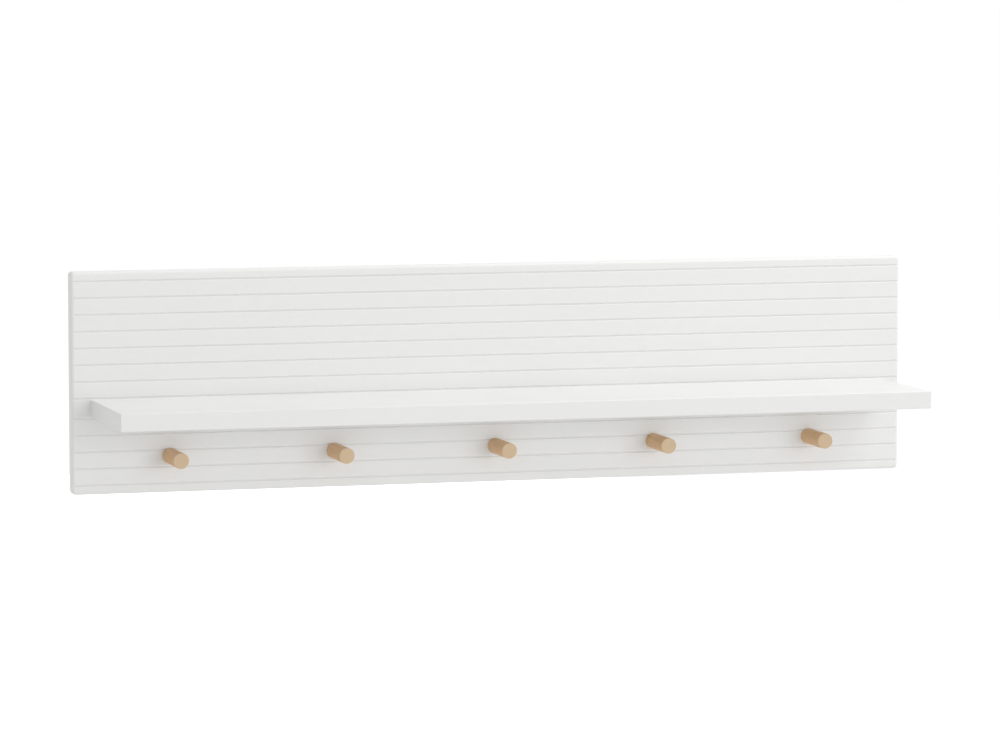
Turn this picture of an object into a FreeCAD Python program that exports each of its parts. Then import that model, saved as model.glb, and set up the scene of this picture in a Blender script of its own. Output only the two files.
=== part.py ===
# Wall shelf: a back panel with horizontal V-grooves, one shelf board and a row of round beech pegs.
#
# Millimetres. X runs along the wall, Y points into it and Z is up. The origin lies in the plane of the
# wall, midway between the two keyholes that the shelf hangs by. Each piece is drawn about a point of its
# own and then placed, and every size comes from the table below.
import FreeCAD, Part
import math
import os
import Sketcher

SIZES = (
    ("panel_wide", 1100, "back panel, end to end"),
    ("panel_high", 280, "back panel, lower edge to top"),
    ("panel_thick", 18, "back panel, front to back"),
    ("corner_round", 5, "radius of the panel's four corners, seen from the front"),
    ("edge_round", 4, "radius along the panel's front edges"),
    ("groove_wide", 3, "V-groove, across its mouth"),
    ("groove_deep", 1.2, "V-groove, from the face to its bottom"),
    ("groove_pitch", 21, "from one groove to the next"),
    ("groove_margin", 12, "from the panel's top or lower edge to the nearest groove"),
    ("shelf_inset", 25, "from the panel's end to the shelf board's end"),
    ("shelf_deep", 185, "how far the shelf board stands out from the panel"),
    ("shelf_thick", 22, "shelf board's thickness"),
    ("shelf_high", 97.5, "from the panel's lower edge to the shelf board's underside"),
    ("shelf_ease", 0.6, "chamfer along the shelf board's edges"),
    ("peg_count", 5, "number of pegs"),
    ("peg_margin", 125, "from the panel's end to the nearest peg's axis"),
    ("peg_high", 46.5, "from the panel's lower edge to the pegs' axis"),
    ("peg_thick", 20, "peg's diameter"),
    ("peg_long", 66, "how far a peg stands out from the panel"),
    ("peg_ease", 0.75, "chamfer round a peg's free end"),
    ("tenon_thick", 10, "diameter of the peg's tenon, glued into the panel"),
    ("tenon_long", 12, "length of the peg's tenon"),
    ("shelf_screw_count", 4, "number of screws that hold the shelf board"),
    ("shelf_screw_margin", 65, "from the shelf board's end to the nearest screw"),
    ("shelf_screw_thick", 7, "shelf screw's shank, diameter"),
    ("shelf_screw_head", 10, "shelf screw's countersunk head, diameter"),
    ("shelf_screw_long", 60, "shelf screw, head to end"),
    ("socket_wide", 4, "shelf screw's hexagon socket, across its flats"),
    ("socket_deep", 3, "depth of that socket"),
    ("dowel_thick", 8, "dowel's diameter"),
    ("dowel_long", 30, "dowel's length"),
    ("dowel_in_panel", 12, "how much of a dowel the panel holds"),
    ("hanger_margin", 125, "from the panel's end to the nearer keyhole"),
    ("hanger_drop", 45, "from the panel's top edge down to the keyholes"),
    ("plate_wide", 20, "hanger plate's width"),
    ("plate_long", 50, "hanger plate's height, over its round ends"),
    ("plate_thick", 1.5, "hanger plate's thickness"),
    ("plate_rise", 5, "from the keyhole's entry up to the plate's middle"),
    ("plate_screw_margin", 6, "from the plate's end to its screw hole"),
    ("entry_wide", 9, "keyhole's round entry, diameter"),
    ("slot_wide", 5, "keyhole's slot, width"),
    ("slot_rise", 12, "from the entry's centre up to the centre of the slot's end"),
    ("room_ease", 1.5, "room for the wall screw's head, round the entry, behind the plate"),
    ("room_deep", 7, "depth of that room, behind the plate"),
    ("hanger_screw_thick", 3.5, "hanger screw's shank, diameter"),
    ("hanger_screw_long", 12, "hanger screw, head to end"),
    ("cross_reach_share", 0.5, "reach of a cross recess, in head radii"),
    ("cross_slim_share", 0.13, "half width of its arms, in head radii"),
    ("cross_deep_share", 0.3, "depth of a cross recess, in head radii"),
    ("fit_gap", 0.1, "clearance all round what sits in a hole or recess"),
    ("end_gap", 0.5, "space past the end of what sits in a blind hole"),
    ("overrun", 1, "how far a cut starts outside the piece"),
)
COUNTERSINK_DEGREES = 90
NEAR = 0.001

# Places that several pieces share, as formulas in the sizes
HANG_HIGH = "(dims.panel_high - dims.hanger_drop)"
HANGER_OUT = "(dims.panel_wide / 2 - dims.hanger_margin)"
SHELF_TOP = "(dims.shelf_high + dims.shelf_thick)"
SHELF_MIDDLE = "(dims.shelf_high + dims.shelf_thick / 2)"
SHELF_HALF = "(dims.panel_wide / 2 - dims.shelf_inset)"
PEG_FIRST = "(dims.peg_margin - dims.panel_wide / 2)"
PEG_PITCH = "((dims.panel_wide - 2 * dims.peg_margin) / (dims.peg_count - 1))"
SCREW_FIRST = f"(dims.shelf_screw_margin - {SHELF_HALF})"
SCREW_PITCH = f"(2 * ({SHELF_HALF} - dims.shelf_screw_margin) / (dims.shelf_screw_count - 1))"
DOWEL_FIRST = f"({SCREW_FIRST} + {SCREW_PITCH} / 2)"
DOWEL_PITCH = f"(-2 * {DOWEL_FIRST})"
PLATE_LOW = "(dims.plate_rise - dims.plate_long / 2)"
PLATE_TOP = "(dims.plate_rise + dims.plate_long / 2)"
HANGER_HEAD = "(dims.hanger_screw_thick + 2 * dims.plate_thick)"

doc = FreeCAD.newDocument("wall_shelf")
dims = doc.addObject("Spreadsheet::Sheet", "dims")
for row, (alias, value, meaning) in enumerate(SIZES, start=1):
    dims.set(f"A{row}", alias)
    dims.set(f"B{row}", str(value))
    dims.set(f"C{row}", meaning)
    dims.setAlias(f"B{row}", alias)
doc.recompute()


def new_body(name):
    """A body whose label is the name of the piece."""
    body = doc.addObject("PartDesign::Body", name)
    body.Label = name
    return body


def datum(body, role):
    """One of the body's own origin planes or axes, as a link."""
    return next(part for part in body.Origin.OriginFeatures if part.Role == role), [""]


def place(body, x="0", y="0", z="0"):
    """Moves a finished piece to formulas x, y and z."""
    for letter, formula in (("x", x), ("y", y), ("z", z)):
        body.setExpression(f"Placement.Base.{letter}", formula)


def new_sketch(body, name, role, offset="0"):
    """A sketch on one of the body's origin planes, or that far in front of it."""
    sketch = body.newObject("Sketcher::SketchObject", name)
    sketch.AttachmentSupport = datum(body, role)
    sketch.MapMode = "FlatFace"
    sketch.setExpression("AttachmentOffset.Base.z", offset)
    return sketch


def point(sketch, x, y):
    """Formulas x and y as a point of the sketch."""
    return FreeCAD.Vector(float(sketch.evalExpression(x)), float(sketch.evalExpression(y)), 0)


def dimension(sketch, kind, name, formula, *ends):
    """Adds a dimension to a sketch and ties it to a formula."""
    value = float(sketch.evalExpression(formula))
    number = sketch.addConstraint(Sketcher.Constraint(kind, *ends, value))
    sketch.renameConstraint(number, name)
    sketch.setExpression(f"Constraints.{name}", formula)


def hold(sketch, geometry, end, name, x, y):
    """Holds one end or centre at formulas x and y from the sketch's origin."""
    dimension(sketch, "DistanceX", f"{name}_x", x, -1, 1, geometry, end)
    dimension(sketch, "DistanceY", f"{name}_y", y, -1, 1, geometry, end)


def polygon(sketch, corners):
    """A closed outline of straight lines through corners given as formulas."""
    ends = [point(sketch, x, y) for x, y in corners]
    lines = [
        sketch.addGeometry(Part.LineSegment(start, ends[(index + 1) % len(ends)]))
        for index, start in enumerate(ends)
    ]
    for index, line in enumerate(lines):
        following = lines[(index + 1) % len(lines)]
        sketch.addConstraint(Sketcher.Constraint("Coincident", line, 2, following, 1))
    for index, (x, y) in enumerate(corners):
        hold(sketch, lines[index], 1, f"corner_{index}", x, y)


def circle(sketch, x, y, diameter, name="hole"):
    """A circle about formulas x and y."""
    radius = float(sketch.evalExpression(diameter)) / 2
    shape = Part.Circle(point(sketch, x, y), FreeCAD.Vector(0, 0, 1), radius)
    ring = sketch.addGeometry(shape)
    hold(sketch, ring, 3, name, x, y)
    dimension(sketch, "Diameter", f"{name}_diameter", diameter, ring)


def upright_slot(sketch, x, low, high, width):
    """A slot with round ends about the centres (x, low) and (x, high)."""
    radius = float(sketch.evalExpression(width)) / 2
    side = FreeCAD.Vector(radius, 0, 0)
    bottom = point(sketch, x, low)
    top = point(sketch, x, high)
    up = FreeCAD.Vector(0, 0, 1)
    shapes = (
        Part.ArcOfCircle(Part.Circle(top, up, radius), 0, math.pi),
        Part.LineSegment(top - side, bottom - side),
        Part.ArcOfCircle(Part.Circle(bottom, up, radius), math.pi, 2 * math.pi),
        Part.LineSegment(bottom + side, top + side),
    )
    loop = [sketch.addGeometry(shape) for shape in shapes]
    for index, piece in enumerate(loop):
        following = loop[(index + 1) % len(loop)]
        sketch.addConstraint(Sketcher.Constraint("Tangent", piece, 2, following, 1))
    sketch.addConstraint(Sketcher.Constraint("Equal", loop[0], loop[2]))
    hold(sketch, loop[0], 3, "top", x, high)
    hold(sketch, loop[2], 3, "bottom", x, low)
    dimension(sketch, "Diameter", "width", width, loop[0])


def pad(body, name, sketch, length):
    """Material of that length in front of a sketch."""
    feature = body.newObject("PartDesign::Pad", name)
    feature.Profile = sketch
    feature.setExpression("Length", length)
    doc.recompute()
    return feature


def pocket(body, name, sketch, depth=None, from_back=False):
    """A cut of that depth, or right through."""
    feature = body.newObject("PartDesign::Pocket", name)
    feature.Profile = sketch
    feature.Reversed = from_back
    if depth is None:
        feature.Type = "ThroughAll"
    else:
        feature.setExpression("Length", depth)
    doc.recompute()
    return feature


def drill(body, name, sketch, diameter, depth=None, head=None, from_back=False):
    """Drills each circle of a sketch, right through or to a depth, with a countersink for a head."""
    doc.recompute()
    feature = body.newObject("PartDesign::Hole", name)
    feature.Profile = sketch
    doc.recompute()
    feature.Reversed = from_back
    feature.setExpression("Diameter", diameter)
    feature.DepthType = "ThroughAll" if depth is None else "Dimension"
    if depth is not None:
        feature.setExpression("Depth", depth)
        feature.DrillPoint = "Flat"
    if head is not None:
        feature.HoleCutType = "Countersink"
        feature.HoleCutCustomValues = True
        feature.setExpression("HoleCutDiameter", head)
        feature.HoleCutCountersinkAngle = COUNTERSINK_DEGREES
    doc.recompute()
    return feature


def row_of(body, name, originals, axis, pitch, count, backwards=False):
    """Repeats features along an axis."""
    pattern = body.newObject("PartDesign::LinearPattern", name)
    pattern.Originals = originals
    pattern.Direction = datum(body, axis)
    pattern.Reversed = backwards
    pattern.Mode = "Spacing"
    pattern.setExpression("Offset", pitch)
    pattern.setExpression("Occurrences", count)
    body.Tip = pattern
    doc.recompute()
    return pattern


def dress_edges(body, name, base, chosen, radius=None, chamfer=None):
    """Rounds or chamfers the edges of a feature that a test picks by their two ends."""
    edges = [
        f"Edge{number}"
        for number, edge in enumerate(base.Shape.Edges, start=1)
        if chosen([vertex.Point for vertex in edge.Vertexes])
    ]
    feature = body.newObject("PartDesign::Fillet" if radius else "PartDesign::Chamfer", name)
    feature.Base = (base, edges)
    if radius:
        feature.setExpression("Radius", radius)
    else:
        feature.setExpression("Size", chamfer)
    doc.recompute()
    return feature


def turn(body, name, corners):
    """Turns an outline, given as radius and place along the axis, about the body's Y axis."""
    sketch = new_sketch(body, f"{name}_outline", "XY_Plane")
    polygon(sketch, corners)
    feature = body.newObject("PartDesign::Revolution", name)
    feature.Profile = sketch
    feature.ReferenceAxis = datum(body, "Y_Axis")
    doc.recompute()
    return feature


# The back panel, drawn from the middle of its lower edge at the back


def cut_grooves(body, name, first, count, downwards):
    """A stack of V-grooves right along the panel's face."""
    sketch = new_sketch(body, f"{name}_profile", "YZ_Plane")
    face = "-dims.panel_thick"
    outside = f"{face} - dims.overrun"
    low = f"{first} - dims.groove_wide / 2"
    high = f"{first} + dims.groove_wide / 2"
    bottom = f"{face} + dims.groove_deep"
    polygon(sketch, ((outside, low), (face, low), (bottom, first), (face, high), (outside, high)))
    groove = pocket(body, name, sketch)
    groove.Midplane = True
    doc.recompute()
    return row_of(body, f"{name}s", [groove], "Z_Axis", "dims.groove_pitch", count, downwards)


def make_back_panel():
    body = new_body("back_panel")
    outline = new_sketch(body, "panel_outline", "XZ_Plane")
    left = "-dims.panel_wide / 2"
    right = "dims.panel_wide / 2"
    top = "dims.panel_high"
    polygon(outline, ((left, "0"), (right, "0"), (right, top), (left, top)))
    board = pad(body, "board", outline, "dims.panel_thick")
    corners = dress_edges(
        body, "round_corners", board, lambda ends: abs(ends[0].y - ends[-1].y) > NEAR,
        radius="dims.corner_round",
    )
    front = -dims.panel_thick
    dress_edges(
        body, "round_front", corners, lambda ends: all(abs(end.y - front) < NEAR for end in ends),
        radius="dims.edge_round",
    )

    lower = "dims.groove_margin"
    lower_count = "floor((dims.shelf_high - dims.groove_margin) / dims.groove_pitch) + 1"
    cut_grooves(body, "lower_groove", lower, lower_count, False)
    upper = "dims.panel_high - dims.groove_margin"
    upper_count = f"floor(({upper} - {SHELF_TOP}) / dims.groove_pitch) + 1"
    cut_grooves(body, "upper_groove", upper, upper_count, True)

    sketch = new_sketch(body, "tenon_place", "XZ_Plane", "dims.panel_thick")
    circle(sketch, PEG_FIRST, "dims.peg_high", "dims.tenon_thick")
    hole = drill(
        body, "tenon_hole", sketch, "dims.tenon_thick + 2 * dims.fit_gap",
        depth="dims.tenon_long + dims.end_gap",
    )
    row_of(body, "tenon_holes", [hole], "X_Axis", PEG_PITCH, "dims.peg_count")

    sketch = new_sketch(body, "shelf_screw_place", "XZ_Plane")
    circle(sketch, SCREW_FIRST, SHELF_MIDDLE, "dims.shelf_screw_thick")
    hole = drill(
        body, "shelf_screw_hole", sketch, "dims.shelf_screw_thick + 2 * dims.fit_gap",
        head="dims.shelf_screw_head + 2 * dims.fit_gap", from_back=True,
    )
    row_of(body, "shelf_screw_holes", [hole], "X_Axis", SCREW_PITCH, "dims.shelf_screw_count")

    sketch = new_sketch(body, "dowel_place", "XZ_Plane", "dims.panel_thick")
    circle(sketch, DOWEL_FIRST, SHELF_MIDDLE, "dims.dowel_thick")
    hole = drill(
        body, "dowel_hole", sketch, "dims.dowel_thick + 2 * dims.fit_gap",
        depth="dims.dowel_in_panel + dims.end_gap",
    )
    row_of(body, "dowel_holes", [hole], "X_Axis", DOWEL_PITCH, "2")

    cut_hanger_seats(body)
    place(body, z=f"-{HANG_HIGH}")


def cut_hanger_seats(body):
    """Lets both hanger plates in flush, with room behind them for the wall screws' heads."""
    across = f"-{HANGER_OUT}"
    sketch = new_sketch(body, "recess_outline", "XZ_Plane")
    upright_slot(
        sketch, across,
        f"{HANG_HIGH} + {PLATE_LOW} + dims.plate_wide / 2",
        f"{HANG_HIGH} + {PLATE_TOP} - dims.plate_wide / 2",
        "dims.plate_wide + 2 * dims.fit_gap",
    )
    recess = pocket(body, "recess", sketch, "dims.plate_thick", from_back=True)

    sketch = new_sketch(body, "room_outline", "XZ_Plane")
    upright_slot(
        sketch, across, HANG_HIGH, f"{HANG_HIGH} + dims.slot_rise", "dims.entry_wide + 2 * dims.room_ease"
    )
    room = pocket(body, "room", sketch, "dims.plate_thick + dims.room_deep", from_back=True)

    sketch = new_sketch(body, "hanger_pilot_place", "XZ_Plane")
    low = f"{HANG_HIGH} + {PLATE_LOW} + dims.plate_screw_margin"
    high = f"{HANG_HIGH} + {PLATE_TOP} - dims.plate_screw_margin"
    circle(sketch, across, low, "dims.hanger_screw_thick", "low")
    circle(sketch, across, high, "dims.hanger_screw_thick", "high")
    pilots = drill(
        body, "hanger_pilots", sketch, "dims.hanger_screw_thick + 2 * dims.fit_gap",
        depth="dims.hanger_screw_long + dims.end_gap", from_back=True,
    )

    mirrored = body.newObject("PartDesign::Mirrored", "other_hanger_seat")
    mirrored.Originals = [recess, room, pilots]
    mirrored.MirrorPlane = datum(body, "YZ_Plane")
    body.Tip = mirrored
    doc.recompute()


# The shelf board, drawn from the middle of its back edge, on its underside


def make_shelf_board():
    body = new_body("shelf_board")
    outline = new_sketch(body, "shelf_outline", "XY_Plane")
    left = f"-{SHELF_HALF}"
    front = "-dims.shelf_deep"
    polygon(outline, ((left, front), (SHELF_HALF, front), (SHELF_HALF, "0"), (left, "0")))
    board = pad(body, "shelf", outline, "dims.shelf_thick")
    dress_edges(
        body, "ease_edges", board, lambda ends: any(abs(end.y) > NEAR for end in ends),
        chamfer="dims.shelf_ease",
    )

    sketch = new_sketch(body, "pilot_place", "XZ_Plane")
    circle(sketch, SCREW_FIRST, "dims.shelf_thick / 2", "dims.shelf_screw_thick")
    hole = drill(
        body, "pilot", sketch, "dims.shelf_screw_thick + 2 * dims.fit_gap",
        depth="dims.shelf_screw_long - dims.panel_thick + dims.end_gap", from_back=True,
    )
    row_of(body, "pilots", [hole], "X_Axis", SCREW_PITCH, "dims.shelf_screw_count")

    sketch = new_sketch(body, "shelf_dowel_place", "XZ_Plane")
    circle(sketch, DOWEL_FIRST, "dims.shelf_thick / 2", "dims.dowel_thick")
    hole = drill(
        body, "shelf_dowel_hole", sketch, "dims.dowel_thick + 2 * dims.fit_gap",
        depth="dims.dowel_long - dims.dowel_in_panel + dims.end_gap", from_back=True,
    )
    row_of(body, "shelf_dowel_holes", [hole], "X_Axis", DOWEL_PITCH, "2")
    place(body, y="-dims.panel_thick", z=f"dims.shelf_high - {HANG_HIGH}")


# The pegs, each turned about its own axis and drawn from the shoulder that meets the panel


def make_peg(index):
    body = new_body(f"peg_{index + 1}")
    radius = "dims.peg_thick / 2"
    tenon = "dims.tenon_thick / 2"
    turn(body, f"peg_{index + 1}_turned", (
        ("0", "-dims.peg_long"),
        (f"{radius} - dims.peg_ease", "-dims.peg_long"),
        (radius, "dims.peg_ease - dims.peg_long"),
        (radius, "0"),
        (tenon, "0"),
        (tenon, "dims.tenon_long"),
        ("0", "dims.tenon_long"),
    ))
    place(body, f"{PEG_FIRST} + {index} * {PEG_PITCH}", "-dims.panel_thick", f"dims.peg_high - {HANG_HIGH}")


# Screws, drawn from the middle of the head's top, which is level with the panel's back


def turn_screw(body, name, thick, head, long):
    """A countersunk screw, its thread drawn as a plain shank."""
    return turn(body, name, (
        ("0", "0"),
        (f"{head} / 2", "0"),
        (f"{thick} / 2", f"({thick} - {head}) / 2"),
        (f"{thick} / 2", f"-{long}"),
        ("0", f"-{long}"),
    ))


def cross_recess(body, name, head):
    """A cross recess in a screw's head."""
    sketch = new_sketch(body, f"{name}_outline", "XZ_Plane")
    reach = f"{head} / 2 * dims.cross_reach_share"
    slim = f"{head} / 2 * dims.cross_slim_share"
    polygon(sketch, (
        (reach, f"-{slim}"), (reach, slim), (slim, slim), (slim, reach),
        (f"-{slim}", reach), (f"-{slim}", slim), (f"-{reach}", slim), (f"-{reach}", f"-{slim}"),
        (f"-{slim}", f"-{slim}"), (f"-{slim}", f"-{reach}"), (slim, f"-{reach}"), (slim, f"-{slim}"),
    ))
    return pocket(body, name, sketch, f"{head} / 2 * dims.cross_deep_share", from_back=True)


def hexagon_socket(body, name):
    """A hexagon socket in a shelf screw's head."""
    sketch = new_sketch(body, f"{name}_outline", "XZ_Plane")
    flat = "dims.socket_wide / 2"
    corner = "dims.socket_wide / sqrt(3)"
    half = f"{corner} / 2"
    polygon(sketch, (
        ("0", f"-{corner}"), (flat, f"-{half}"), (flat, half),
        ("0", corner), (f"-{flat}", half), (f"-{flat}", f"-{half}"),
    ))
    return pocket(body, name, sketch, "dims.socket_deep", from_back=True)


def make_shelf_screws():
    body = new_body("shelf_screws")
    screw = turn_screw(
        body, "shelf_screw", "dims.shelf_screw_thick", "dims.shelf_screw_head", "dims.shelf_screw_long"
    )
    socket = hexagon_socket(body, "shelf_screw_socket")
    row_of(body, "shelf_screw_row", [screw, socket], "X_Axis", SCREW_PITCH, "dims.shelf_screw_count")
    place(body, x=SCREW_FIRST, z=f"{SHELF_MIDDLE} - {HANG_HIGH}")


def make_hanger_screws():
    body = new_body("hanger_screws")
    screw = turn_screw(
        body, "hanger_screw", "dims.hanger_screw_thick", HANGER_HEAD, "dims.hanger_screw_long"
    )
    recess = cross_recess(body, "hanger_screw_recess", HANGER_HEAD)
    pattern = row_of(body, "hanger_screw_rows", [screw, recess], "X_Axis", f"2 * {HANGER_OUT}", "2")
    pattern.Direction2 = datum(body, "Z_Axis")
    pattern.Mode2 = "Spacing"
    pattern.setExpression("Offset2", "dims.plate_long - 2 * dims.plate_screw_margin")
    pattern.Occurrences2 = 2
    doc.recompute()
    place(body, x=f"-{HANGER_OUT}", z=f"{PLATE_LOW} + dims.plate_screw_margin")


# The two dowels, each midway between the last two screws, drawn from where the board meets the panel


def make_shelf_dowels():
    body = new_body("shelf_dowels")
    radius = "dims.dowel_thick / 2"
    inner = "dims.dowel_in_panel"
    outer = "dims.dowel_in_panel - dims.dowel_long"
    dowel = turn(body, "dowel", (("0", outer), (radius, outer), (radius, inner), ("0", inner)))
    row_of(body, "dowel_row", [dowel], "X_Axis", DOWEL_PITCH, "2")
    place(body, DOWEL_FIRST, "-dims.panel_thick", f"{SHELF_MIDDLE} - {HANG_HIGH}")


# The two hanger plates, drawn from the middle of the left keyhole's entry, on the plate's back


def make_hanger_plates():
    body = new_body("hanger_plates")
    outline = new_sketch(body, "plate_outline", "XZ_Plane")
    upright_slot(
        outline, "0", f"{PLATE_LOW} + dims.plate_wide / 2", f"{PLATE_TOP} - dims.plate_wide / 2",
        "dims.plate_wide",
    )
    blank = pad(body, "blank", outline, "dims.plate_thick")

    sketch = new_sketch(body, "entry_place", "XZ_Plane")
    circle(sketch, "0", "0", "dims.entry_wide")
    entry = pocket(body, "entry", sketch, from_back=True)

    sketch = new_sketch(body, "slot_outline", "XZ_Plane")
    upright_slot(sketch, "0", "0", "dims.slot_rise", "dims.slot_wide")
    slot = pocket(body, "slot", sketch, from_back=True)

    sketch = new_sketch(body, "screw_places", "XZ_Plane")
    circle(sketch, "0", f"{PLATE_LOW} + dims.plate_screw_margin", "dims.hanger_screw_thick", "low")
    circle(sketch, "0", f"{PLATE_TOP} - dims.plate_screw_margin", "dims.hanger_screw_thick", "high")
    holes = drill(
        body, "screw_holes", sketch, "dims.hanger_screw_thick + 2 * dims.fit_gap",
        head=f"{HANGER_HEAD} + 2 * dims.fit_gap", from_back=True,
    )
    row_of(body, "plate_pair", [blank, entry, slot, holes], "X_Axis", f"2 * {HANGER_OUT}", "2")
    place(body, x=f"-{HANGER_OUT}")


make_back_panel()
make_shelf_board()
for number in range(int(dims.peg_count)):
    make_peg(number)
make_shelf_screws()
make_shelf_dowels()
make_hanger_plates()
make_hanger_screws()
doc.recompute()

bodies = [thing for thing in doc.Objects if thing.TypeId == "PartDesign::Body"]
failed = [thing.Name for thing in doc.Objects if {"Invalid", "Error"} & set(thing.State)]
failed += [body.Label for body in bodies if body.Shape.isNull() or not body.Shape.isValid()]
if failed:
    raise RuntimeError("these did not build: " + ", ".join(failed))

os.makedirs("parts", exist_ok=True)
for body in bodies:
    body.Shape.exportStep(f"parts/{body.Label}.step")
    print(f"{body.Label}: {len(body.Shape.Solids)} solid(s), {body.Shape.Volume:.1f} cubic mm")
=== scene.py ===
"""Looks of the wall shelf: white lacquered boards, beech pegs and zinc plated fittings at the back.

Metres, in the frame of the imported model: X along the wall, Y into it, Z up.
"""
import math
from typing import NamedTuple

import bmesh
import bpy
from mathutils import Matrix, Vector


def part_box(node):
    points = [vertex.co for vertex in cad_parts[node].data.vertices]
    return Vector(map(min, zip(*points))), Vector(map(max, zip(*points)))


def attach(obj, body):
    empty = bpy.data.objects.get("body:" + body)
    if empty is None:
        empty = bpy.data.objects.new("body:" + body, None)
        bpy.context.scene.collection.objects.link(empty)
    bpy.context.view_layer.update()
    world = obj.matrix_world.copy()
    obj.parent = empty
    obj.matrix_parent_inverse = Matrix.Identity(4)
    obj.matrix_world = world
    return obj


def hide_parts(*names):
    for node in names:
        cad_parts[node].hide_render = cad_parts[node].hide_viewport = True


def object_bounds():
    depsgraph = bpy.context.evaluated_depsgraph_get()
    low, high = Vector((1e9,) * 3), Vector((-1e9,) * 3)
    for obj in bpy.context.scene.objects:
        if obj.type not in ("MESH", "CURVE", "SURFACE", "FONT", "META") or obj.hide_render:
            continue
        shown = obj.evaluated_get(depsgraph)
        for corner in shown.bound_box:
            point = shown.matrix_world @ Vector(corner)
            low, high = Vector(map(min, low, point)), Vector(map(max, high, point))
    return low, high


MM = 0.001


class Pattern(NamedTuple):
    """A noise texture. Its scale is in repeats per metre along X, Y and Z."""

    scale: tuple
    detail: float = 2.0
    roughness: float = 0.5


class Span(NamedTuple):
    """Maps values from low to high onto those from at_low to at_high, held at its ends."""

    low: float
    high: float
    at_low: float = 0.0
    at_high: float = 1.0


class Lamp(NamedTuple):
    """A square soft lamp aimed at the shelf. One that doesn't shine leaves no glint on it."""

    name: str
    place: Vector
    watts: float
    size: float
    shines: bool = True


# Camera: a long lens from the left, a little above the shelf board
CAMERA_PLACE = Vector((-1664.05, -5838.81, 466.12)) * MM
CAMERA_TURN = 0.279468
CAMERA_DIP = 0.092861
CAMERA_REACH = 100
LENS_PIXELS = 4750.44
FRAME_PIXELS = 1000
SENSOR_MM = 36

# Satin lacquer, rolled on: two close whites in clouds, soft waves and a fine orange peel
LACQUER_LIGHT = (0.812, 0.812, 0.802)
LACQUER_DARK = (0.798, 0.798, 0.787)
LACQUER_CLOUDS = Pattern((5, 5, 9), detail=3.0)
LACQUER_CLOUD_SPAN = Span(0.35, 0.65)
LACQUER_SPECKS = Pattern((420, 420, 420), detail=1.0)
LACQUER_SPECK_SHARE = 0.3
LACQUER_ROUGHNESS = Span(0.4, 0.9, 0.38, 0.5)
LACQUER_SPECULAR = 0.35
LACQUER_WAVES = Pattern((45, 45, 60))
LACQUER_WAVE_HEIGHT = 0.12 * MM
LACQUER_PEEL = Pattern((900, 900, 900), roughness=0.6)
LACQUER_PEEL_HEIGHT = 0.02 * MM

# Beech: rings round a heart outside the peg, with clouds, fibres and flecks along Y
BEECH_PALE = (0.70, 0.455, 0.245)
BEECH_MIDDLE = (0.585, 0.348, 0.168)
BEECH_FLECK = (0.40, 0.22, 0.10)
BEECH_HEART_X = -21 * MM
BEECH_HEART_Z = -6 * MM
BEECH_RING_STEP = 2.1 * MM
BEECH_RING_BEND = 2.2 * MM
BEECH_RING_SPAN = Span(0.1, 1.0, 0.0, 0.55)
BEECH_RING_RELIEF = 0.25
BEECH_BENDS = Pattern((60, 9, 60))
BEECH_CLOUDS = Pattern((70, 14, 70))
BEECH_CLOUD_SPAN = Span(0.35, 0.7, 0.0, 0.5)
BEECH_FIBRES = Pattern((1500, 38, 1500), detail=3.0, roughness=0.65)
BEECH_FIBRE_SPAN = Span(0.55, 0.75, 0.0, 0.45)
BEECH_FLECKS = Pattern((700, 130, 2600), detail=1.0)
BEECH_FLECK_SPAN = Span(0.62, 0.72, 0.0, 0.5)
BEECH_ROUGHNESS = Span(0.3, 0.7, 0.42, 0.56)
BEECH_SPECULAR = 0.4
BEECH_GRAIN_HEIGHT = 0.05 * MM
BEECH_GRAIN_STRENGTH = 0.8
WAVE_SPAN = Span(-1.0, 1.0)

# A peg's free end is sawn across the grain and painted a paler, greyer tone than its sides. This is
# painted light for the lamps in front, and it ends just behind the face
END_PAINTED_LIGHT_COLOUR = (0.615, 0.53, 0.39)
END_PAINTED_LIGHT_SPAN = Span(0.9 * MM, 1.17 * MM, 0.5, 0.0)

# Raw beech of the dowels
DOWEL_FIBRES = Pattern((1200, 40, 1200), detail=3.0)
DOWEL_FIBRE_SPAN = Span(0.35, 0.65)
DOWEL_ROUGHNESS = Span(0.3, 0.7, 0.65, 0.8)
DOWEL_GRAIN_HEIGHT = 0.08 * MM

# Zinc plating: faintly blue and yellow, with fine rolling lines
ZINC_TINTS = (
    (0.3, (0.37, 0.39, 0.43)),
    (0.5, (0.43, 0.44, 0.455)),
    (0.7, (0.45, 0.43, 0.375)),
)
ZINC_CLOUDS = Pattern((190, 190, 190), detail=3.0)
ZINC_LINES = Pattern((260, 260, 5200))
ZINC_LINE_SHARE = 0.6
ZINC_LINE_HEIGHT = 0.02 * MM
ZINC_ROUGHNESS = Span(0.5, 1.1, 0.26, 0.46)

# Pegs: each has its own turn of the grain and its own share of the middle tone
PEG_ROUND = 1.1 * MM
PEG_SIDES = 96
PEG_ROUND_STEPS = 6
PEG_FACE_RINGS = (0.25, 0.5, 0.75)
PEG_TENON_SHARE = 0.5
PEG_TURNS = (0.4, 2.3, 4.1, 5.4, 1.3)
PEG_TONES = (0.10, 0.0, 0.22, 0.05, 0.15)

SMOOTH_DEGREES = 32

# Stage: less of the lamps' light reaches the floor far from the shelf, so its lift to white grows
WHITE = (1.0, 1.0, 1.0)
FLOOR_DROP = 0.6
FLOOR_HALF = 14.0
FLOOR_COLOUR = (0.86, 0.86, 0.86)
FLOOR_LIFT = Span(1.2, 3.6, 0.20, 0.40)
WORLD_STRENGTH = Span(0.0, 1.0, 0.715, 1.0)
LAMPS = (
    Lamp("key", Vector((1.4, -0.5, 3.3)), watts=28, size=0.8),
    Lamp("side", Vector((1.9, -0.6, 2.1)), watts=15, size=0.4),
    Lamp("fill", Vector((2.7, -8.9, 0.25)), watts=206, size=4.5),
    Lamp("back", Vector((1.6, 5.0, 0.0)), watts=50, size=3.0, shines=False),
)
LAMP_TARGET = Vector((0, 0, -0.1))

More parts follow.
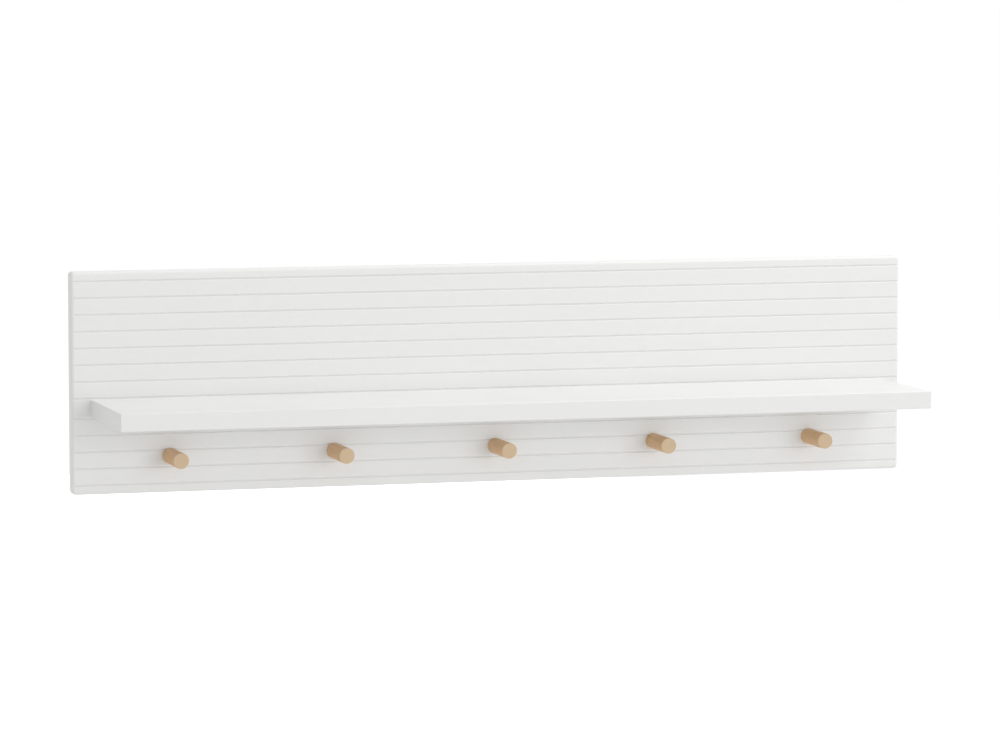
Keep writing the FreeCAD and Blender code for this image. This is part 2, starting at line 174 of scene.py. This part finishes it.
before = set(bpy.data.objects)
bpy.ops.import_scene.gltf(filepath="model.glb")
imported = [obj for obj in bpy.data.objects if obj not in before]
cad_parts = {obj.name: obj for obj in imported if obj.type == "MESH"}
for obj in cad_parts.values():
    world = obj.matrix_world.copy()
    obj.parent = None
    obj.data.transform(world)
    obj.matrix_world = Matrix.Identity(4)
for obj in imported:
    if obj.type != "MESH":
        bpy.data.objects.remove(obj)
cad_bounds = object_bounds()


# Node graphs


class Graph:
    """A node tree, with short calls for the nodes used here."""

    def __init__(self, tree):
        self.tree = tree
        self.tree.nodes.clear()

    def node(self, kind, **settings):
        node = self.tree.nodes.new(kind)
        for key, value in settings.items():
            setattr(node, key, value)
        return node

    def link(self, output, socket):
        self.tree.links.new(output, socket)

    def feed(self, socket, value):
        """Sets a socket to a number or colour, or links an output to it."""
        if isinstance(value, bpy.types.NodeSocket):
            self.link(value, socket)
        elif isinstance(value, tuple):
            socket.default_value = (*value, 1.0)
        else:
            socket.default_value = value

    def math(self, operation, first, second=0.0, third=0.0):
        node = self.node("ShaderNodeMath", operation=operation)
        for socket, value in zip(node.inputs, (first, second, third)):
            self.feed(socket, value)
        return node.outputs[0]

    def spread(self, value, span):
        """The value, mapped by the span."""
        node = self.node("ShaderNodeMapRange")
        for socket, number in zip(node.inputs, (value, *span)):
            self.feed(socket, number)
        return node.outputs[0]

    def seen(self):
        """1 for rays that show a surface straight, mirrored or through glass, 0 for its light."""
        rays = self.node("ShaderNodeLightPath").outputs
        seen = self.math("MAXIMUM", rays["Is Camera Ray"], rays["Is Glossy Ray"])
        return self.math("MAXIMUM", seen, rays["Is Transmission Ray"])


class Surface(Graph):
    """A material's graph, with its shader and the coordinates that its patterns follow."""

    def __init__(self, name):
        self.material = bpy.data.materials.new(name)
        self.material.use_nodes = True
        super().__init__(self.material.node_tree)
        self.shader = self.node("ShaderNodeBsdfPrincipled")
        output = self.node("ShaderNodeOutputMaterial")
        self.link(self.shader.outputs["BSDF"], output.inputs["Surface"])
        self.place = self.node("ShaderNodeTexCoord").outputs["Object"]

    def moved(self, scale=(1, 1, 1), shift=(0, 0, 0), turn=(0, 0, 0)):
        """The coordinates, scaled, turned and then shifted."""
        node = self.node("ShaderNodeMapping")
        self.link(self.place, node.inputs["Vector"])
        node.inputs["Location"].default_value = shift
        node.inputs["Rotation"].default_value = turn
        node.inputs["Scale"].default_value = scale
        return node.outputs[0]

    def noise(self, pattern):
        node = self.node("ShaderNodeTexNoise")
        self.link(self.moved(pattern.scale), node.inputs["Vector"])
        node.inputs["Scale"].default_value = 1.0
        node.inputs["Detail"].default_value = pattern.detail
        node.inputs["Roughness"].default_value = pattern.roughness
        return node.outputs[0]

    def ramp(self, value, stops):
        """A colour ramp through (place, colour) stops."""
        node = self.node("ShaderNodeValToRGB")
        self.feed(node.inputs[0], value)
        elements = node.color_ramp.elements
        for index, (position, colour) in enumerate(stops):
            element = elements[index] if index < 2 else elements.new(position)
            element.position = position
            element.color = (*colour, 1.0)
        return node.outputs[0]

    def mix(self, factor, first, second):
        """The first colour, going over to the second as the factor grows."""
        node = self.node("ShaderNodeMix", data_type="RGBA")
        self.feed(node.inputs[0], factor)
        self.feed(node.inputs[6], first)
        self.feed(node.inputs[7], second)
        return node.outputs[2]

    def bump(self, height, distance, strength=1.0, normal=None):
        node = self.node("ShaderNodeBump")
        self.link(height, node.inputs["Height"])
        node.inputs["Distance"].default_value = distance
        node.inputs["Strength"].default_value = strength
        if normal is not None:
            self.link(normal, node.inputs["Normal"])
        return node.outputs[0]

    def finish(self, **values):
        """Feeds the shader's sockets, named in words joined by underscores."""
        for key, value in values.items():
            name = key.replace("_", " ").title().replace("Ior", "IOR")
            self.feed(self.shader.inputs[name], value)
        return self.material


# Materials


def white_lacquer():
    """Satin lacquer, whose sheen is slightly uneven."""
    graph = Surface("white_lacquer")
    clouds = graph.noise(LACQUER_CLOUDS)
    specks = graph.noise(LACQUER_SPECKS)
    sheen = graph.math("MULTIPLY_ADD", specks, LACQUER_SPECK_SHARE, clouds)
    waves = graph.bump(graph.noise(LACQUER_WAVES), LACQUER_WAVE_HEIGHT)
    peel = graph.bump(graph.noise(LACQUER_PEEL), LACQUER_PEEL_HEIGHT, normal=waves)
    return graph.finish(
        base_color=graph.mix(graph.spread(clouds, LACQUER_CLOUD_SPAN), LACQUER_DARK, LACQUER_LIGHT),
        roughness=graph.spread(sheen, LACQUER_ROUGHNESS),
        specular_ior_level=LACQUER_SPECULAR,
        normal=peel,
    )


def beech(name, x, tip, z, turn, tone):
    """Beech, its grain turned about the peg's axis (x, z) and sawn across at the tip, whose end
    face is painted paler as painted light.
    """
    graph = Surface(name)
    graph.place = graph.moved(shift=(-x, 0, -z))
    graph.place = graph.moved(turn=(0, turn, 0))
    from_heart = graph.node("ShaderNodeSeparateXYZ")
    graph.link(graph.moved(shift=(-BEECH_HEART_X, -tip, -BEECH_HEART_Z)), from_heart.inputs[0])
    across = graph.math("POWER", from_heart.outputs["X"], 2.0)
    upright = graph.math("POWER", from_heart.outputs["Z"], 2.0)
    distance = graph.math("SQRT", graph.math("ADD", across, upright))
    bent = graph.math("MULTIPLY_ADD", graph.noise(BEECH_BENDS), BEECH_RING_BEND, distance)
    waves = graph.math("SINE", graph.math("MULTIPLY", bent, 2 * math.pi / BEECH_RING_STEP))
    rings = graph.spread(waves, WAVE_SPAN)
    clouds = graph.noise(BEECH_CLOUDS)
    fibres = graph.noise(BEECH_FIBRES)
    flecks = graph.noise(BEECH_FLECKS)
    colour = graph.mix(graph.spread(rings, BEECH_RING_SPAN), BEECH_PALE, BEECH_MIDDLE)
    colour = graph.mix(graph.spread(clouds, BEECH_CLOUD_SPAN), colour, BEECH_MIDDLE)
    colour = graph.mix(graph.spread(fibres, BEECH_FIBRE_SPAN), colour, BEECH_MIDDLE)
    colour = graph.mix(graph.spread(flecks, BEECH_FLECK_SPAN), colour, BEECH_FLECK)
    colour = graph.mix(tone, colour, BEECH_MIDDLE)
    # Painted light: the tip's end face is mixed halfway towards a paler, greyer colour
    end_painted_light = graph.spread(from_heart.outputs["Y"], END_PAINTED_LIGHT_SPAN)
    height = graph.math("MULTIPLY_ADD", rings, BEECH_RING_RELIEF, fibres)
    return graph.finish(
        base_color=graph.mix(end_painted_light, colour, END_PAINTED_LIGHT_COLOUR),
        roughness=graph.spread(fibres, BEECH_ROUGHNESS),
        specular_ior_level=BEECH_SPECULAR,
        normal=graph.bump(height, BEECH_GRAIN_HEIGHT, BEECH_GRAIN_STRENGTH),
    )


def dowel_wood():
    """Raw beech of the dowels."""
    graph = Surface("dowel_wood")
    fibres = graph.noise(DOWEL_FIBRES)
    return graph.finish(
        base_color=graph.mix(graph.spread(fibres, DOWEL_FIBRE_SPAN), BEECH_PALE, BEECH_MIDDLE),
        roughness=graph.spread(fibres, DOWEL_ROUGHNESS),
        normal=graph.bump(fibres, DOWEL_GRAIN_HEIGHT),
    )


def zinc_steel():
    """Zinc plated steel."""
    graph = Surface("zinc_steel")
    clouds = graph.noise(ZINC_CLOUDS)
    lines = graph.noise(ZINC_LINES)
    sheen = graph.math("MULTIPLY_ADD", lines, ZINC_LINE_SHARE, clouds)
    return graph.finish(
        base_color=graph.ramp(clouds, ZINC_TINTS),
        metallic=1.0,
        roughness=graph.spread(sheen, ZINC_ROUGHNESS),
        normal=graph.bump(lines, ZINC_LINE_HEIGHT),
    )


def smooth(thing):
    """Smooth shading, with edges above a set angle kept sharp."""
    mesh = thing.data
    mesh.shade_smooth()
    mesh.set_sharp_from_angle(angle=math.radians(SMOOTH_DEGREES))


def dress(node, material):
    """Gives a CAD node its material and smooth shading across its round stretches."""
    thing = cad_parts[node]
    thing.data.materials.clear()
    thing.data.materials.append(material)
    smooth(thing)


# Pegs


def peg_outline(radius, tip, shoulder, tenon_radius, tenon_end):
    """(radius, y) points from the middle of the peg's free end to the middle of its tenon's end."""
    points = [(radius * share, tip) for share in PEG_FACE_RINGS]
    for step in range(PEG_ROUND_STEPS + 1):
        angle = math.pi / 2 * step / PEG_ROUND_STEPS
        points.append((
            radius - PEG_ROUND + PEG_ROUND * math.sin(angle),
            tip + PEG_ROUND - PEG_ROUND * math.cos(angle),
        ))
    points += [(radius, shoulder), (tenon_radius, shoulder), (tenon_radius, tenon_end)]
    return points


def lathe(name, x, z, outline, sides):
    """A closed solid of revolution about the line through (x, z) along Y."""
    mesh = bpy.data.meshes.new(name)
    form = bmesh.new()
    rings = []
    for radius, y in outline:
        ring = []
        for side in range(sides):
            angle = 2 * math.pi * side / sides
            place = (x + radius * math.cos(angle), y, z + radius * math.sin(angle))
            ring.append(form.verts.new(place))
        rings.append(ring)
    for near, far in zip(rings, rings[1:]):
        for side in range(sides):
            following = (side + 1) % sides
            form.faces.new((near[side], far[side], far[following], near[following]))
    for ring, y in ((rings[0], outline[0][1]), (rings[-1], outline[-1][1])):
        middle = form.verts.new((x, y, z))
        for side in range(sides):
            form.faces.new((ring[side], ring[(side + 1) % sides], middle))
    bmesh.ops.recalc_face_normals(form, faces=form.faces)
    form.to_mesh(mesh)
    form.free()
    thing = bpy.data.objects.new(name, mesh)
    bpy.context.scene.collection.objects.link(thing)
    smooth(thing)
    return thing


def make_peg(index, turn, tone):
    """A turned beech peg with an eased end, in place of its CAD node."""
    node = f"peg_{index}"
    low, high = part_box(node)
    x = (low[0] + high[0]) / 2
    z = (low[2] + high[2]) / 2
    radius = (high[0] - low[0]) / 2
    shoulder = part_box("back_panel")[0][1]
    outline = peg_outline(radius, low[1], shoulder, radius * PEG_TENON_SHARE, high[1])
    peg = lathe(f"{node}_turned", x, z, outline, PEG_SIDES)
    peg.data.materials.append(beech(f"beech_{index}", x, low[1], z, turn, tone))
    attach(peg, "root")
    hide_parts(node)


# Stage, light and camera


def make_floor():
    """A pale floor below the shelf, seen as white where no shadow falls."""
    mesh = bpy.data.meshes.new("floor")
    z = cad_bounds[0][2] - FLOOR_DROP
    corners = [(x * FLOOR_HALF, y * FLOOR_HALF, z) for x, y in ((-1, -1), (1, -1), (1, 1), (-1, 1))]
    mesh.from_pydata(corners, [], [(0, 1, 2, 3)])
    floor = bpy.data.objects.new("floor", mesh)
    bpy.context.scene.collection.objects.link(floor)
    graph = Surface("floor")
    away = graph.node("ShaderNodeVectorMath", operation="LENGTH")
    graph.link(graph.place, away.inputs[0])
    lift = graph.spread(away.outputs["Value"], FLOOR_LIFT)
    mesh.materials.append(graph.finish(
        base_color=FLOOR_COLOUR,
        roughness=1.0,
        specular_ior_level=0.0,
        emission_color=WHITE,
        emission_strength=graph.math("MULTIPLY", graph.seen(), lift),
    ))


def make_world():
    """Even white light from all round, seen as pure white."""
    world = bpy.data.worlds.new("studio")
    bpy.context.scene.world = world
    world.use_nodes = True
    graph = Graph(world.node_tree)
    background = graph.node("ShaderNodeBackground")
    graph.feed(background.inputs["Color"], WHITE)
    graph.feed(background.inputs["Strength"], graph.spread(graph.seen(), WORLD_STRENGTH))
    output = graph.node("ShaderNodeOutputWorld")
    graph.link(background.outputs[0], output.inputs["Surface"])


def make_lamp(lamp):
    """A lamp of the list."""
    data = bpy.data.lights.new(lamp.name, "AREA")
    data.energy = lamp.watts
    data.size = lamp.size
    thing = bpy.data.objects.new(lamp.name, data)
    thing.location = lamp.place
    thing.rotation_euler = (LAMP_TARGET - lamp.place).to_track_quat("-Z", "Y").to_euler()
    thing.visible_glossy = lamp.shines
    bpy.context.scene.collection.objects.link(thing)


def make_camera():
    """The photograph's viewpoint."""
    data = bpy.data.cameras.new("camera")
    data.sensor_width = SENSOR_MM
    data.lens = LENS_PIXELS / FRAME_PIXELS * SENSOR_MM
    data.clip_end = CAMERA_REACH
    camera = bpy.data.objects.new("camera", data)
    camera.location = CAMERA_PLACE
    camera.rotation_euler = (math.pi / 2 - CAMERA_DIP, 0, -CAMERA_TURN)
    bpy.context.scene.collection.objects.link(camera)
    bpy.context.scene.camera = camera


lacquer = white_lacquer()
zinc = zinc_steel()
dress("back_panel", lacquer)
dress("shelf_board", lacquer)
dress("shelf_dowels", dowel_wood())
for fitting in ("shelf_screws", "hanger_screws", "hanger_plates"):
    dress(fitting, zinc)
for number, (peg_turn, peg_tone) in enumerate(zip(PEG_TURNS, PEG_TONES), start=1):
    make_peg(number, peg_turn, peg_tone)

make_floor()
make_world()
for studio_lamp in LAMPS:
    make_lamp(studio_lamp)
make_camera()
bpy.context.scene.view_settings.view_transform = "Standard"
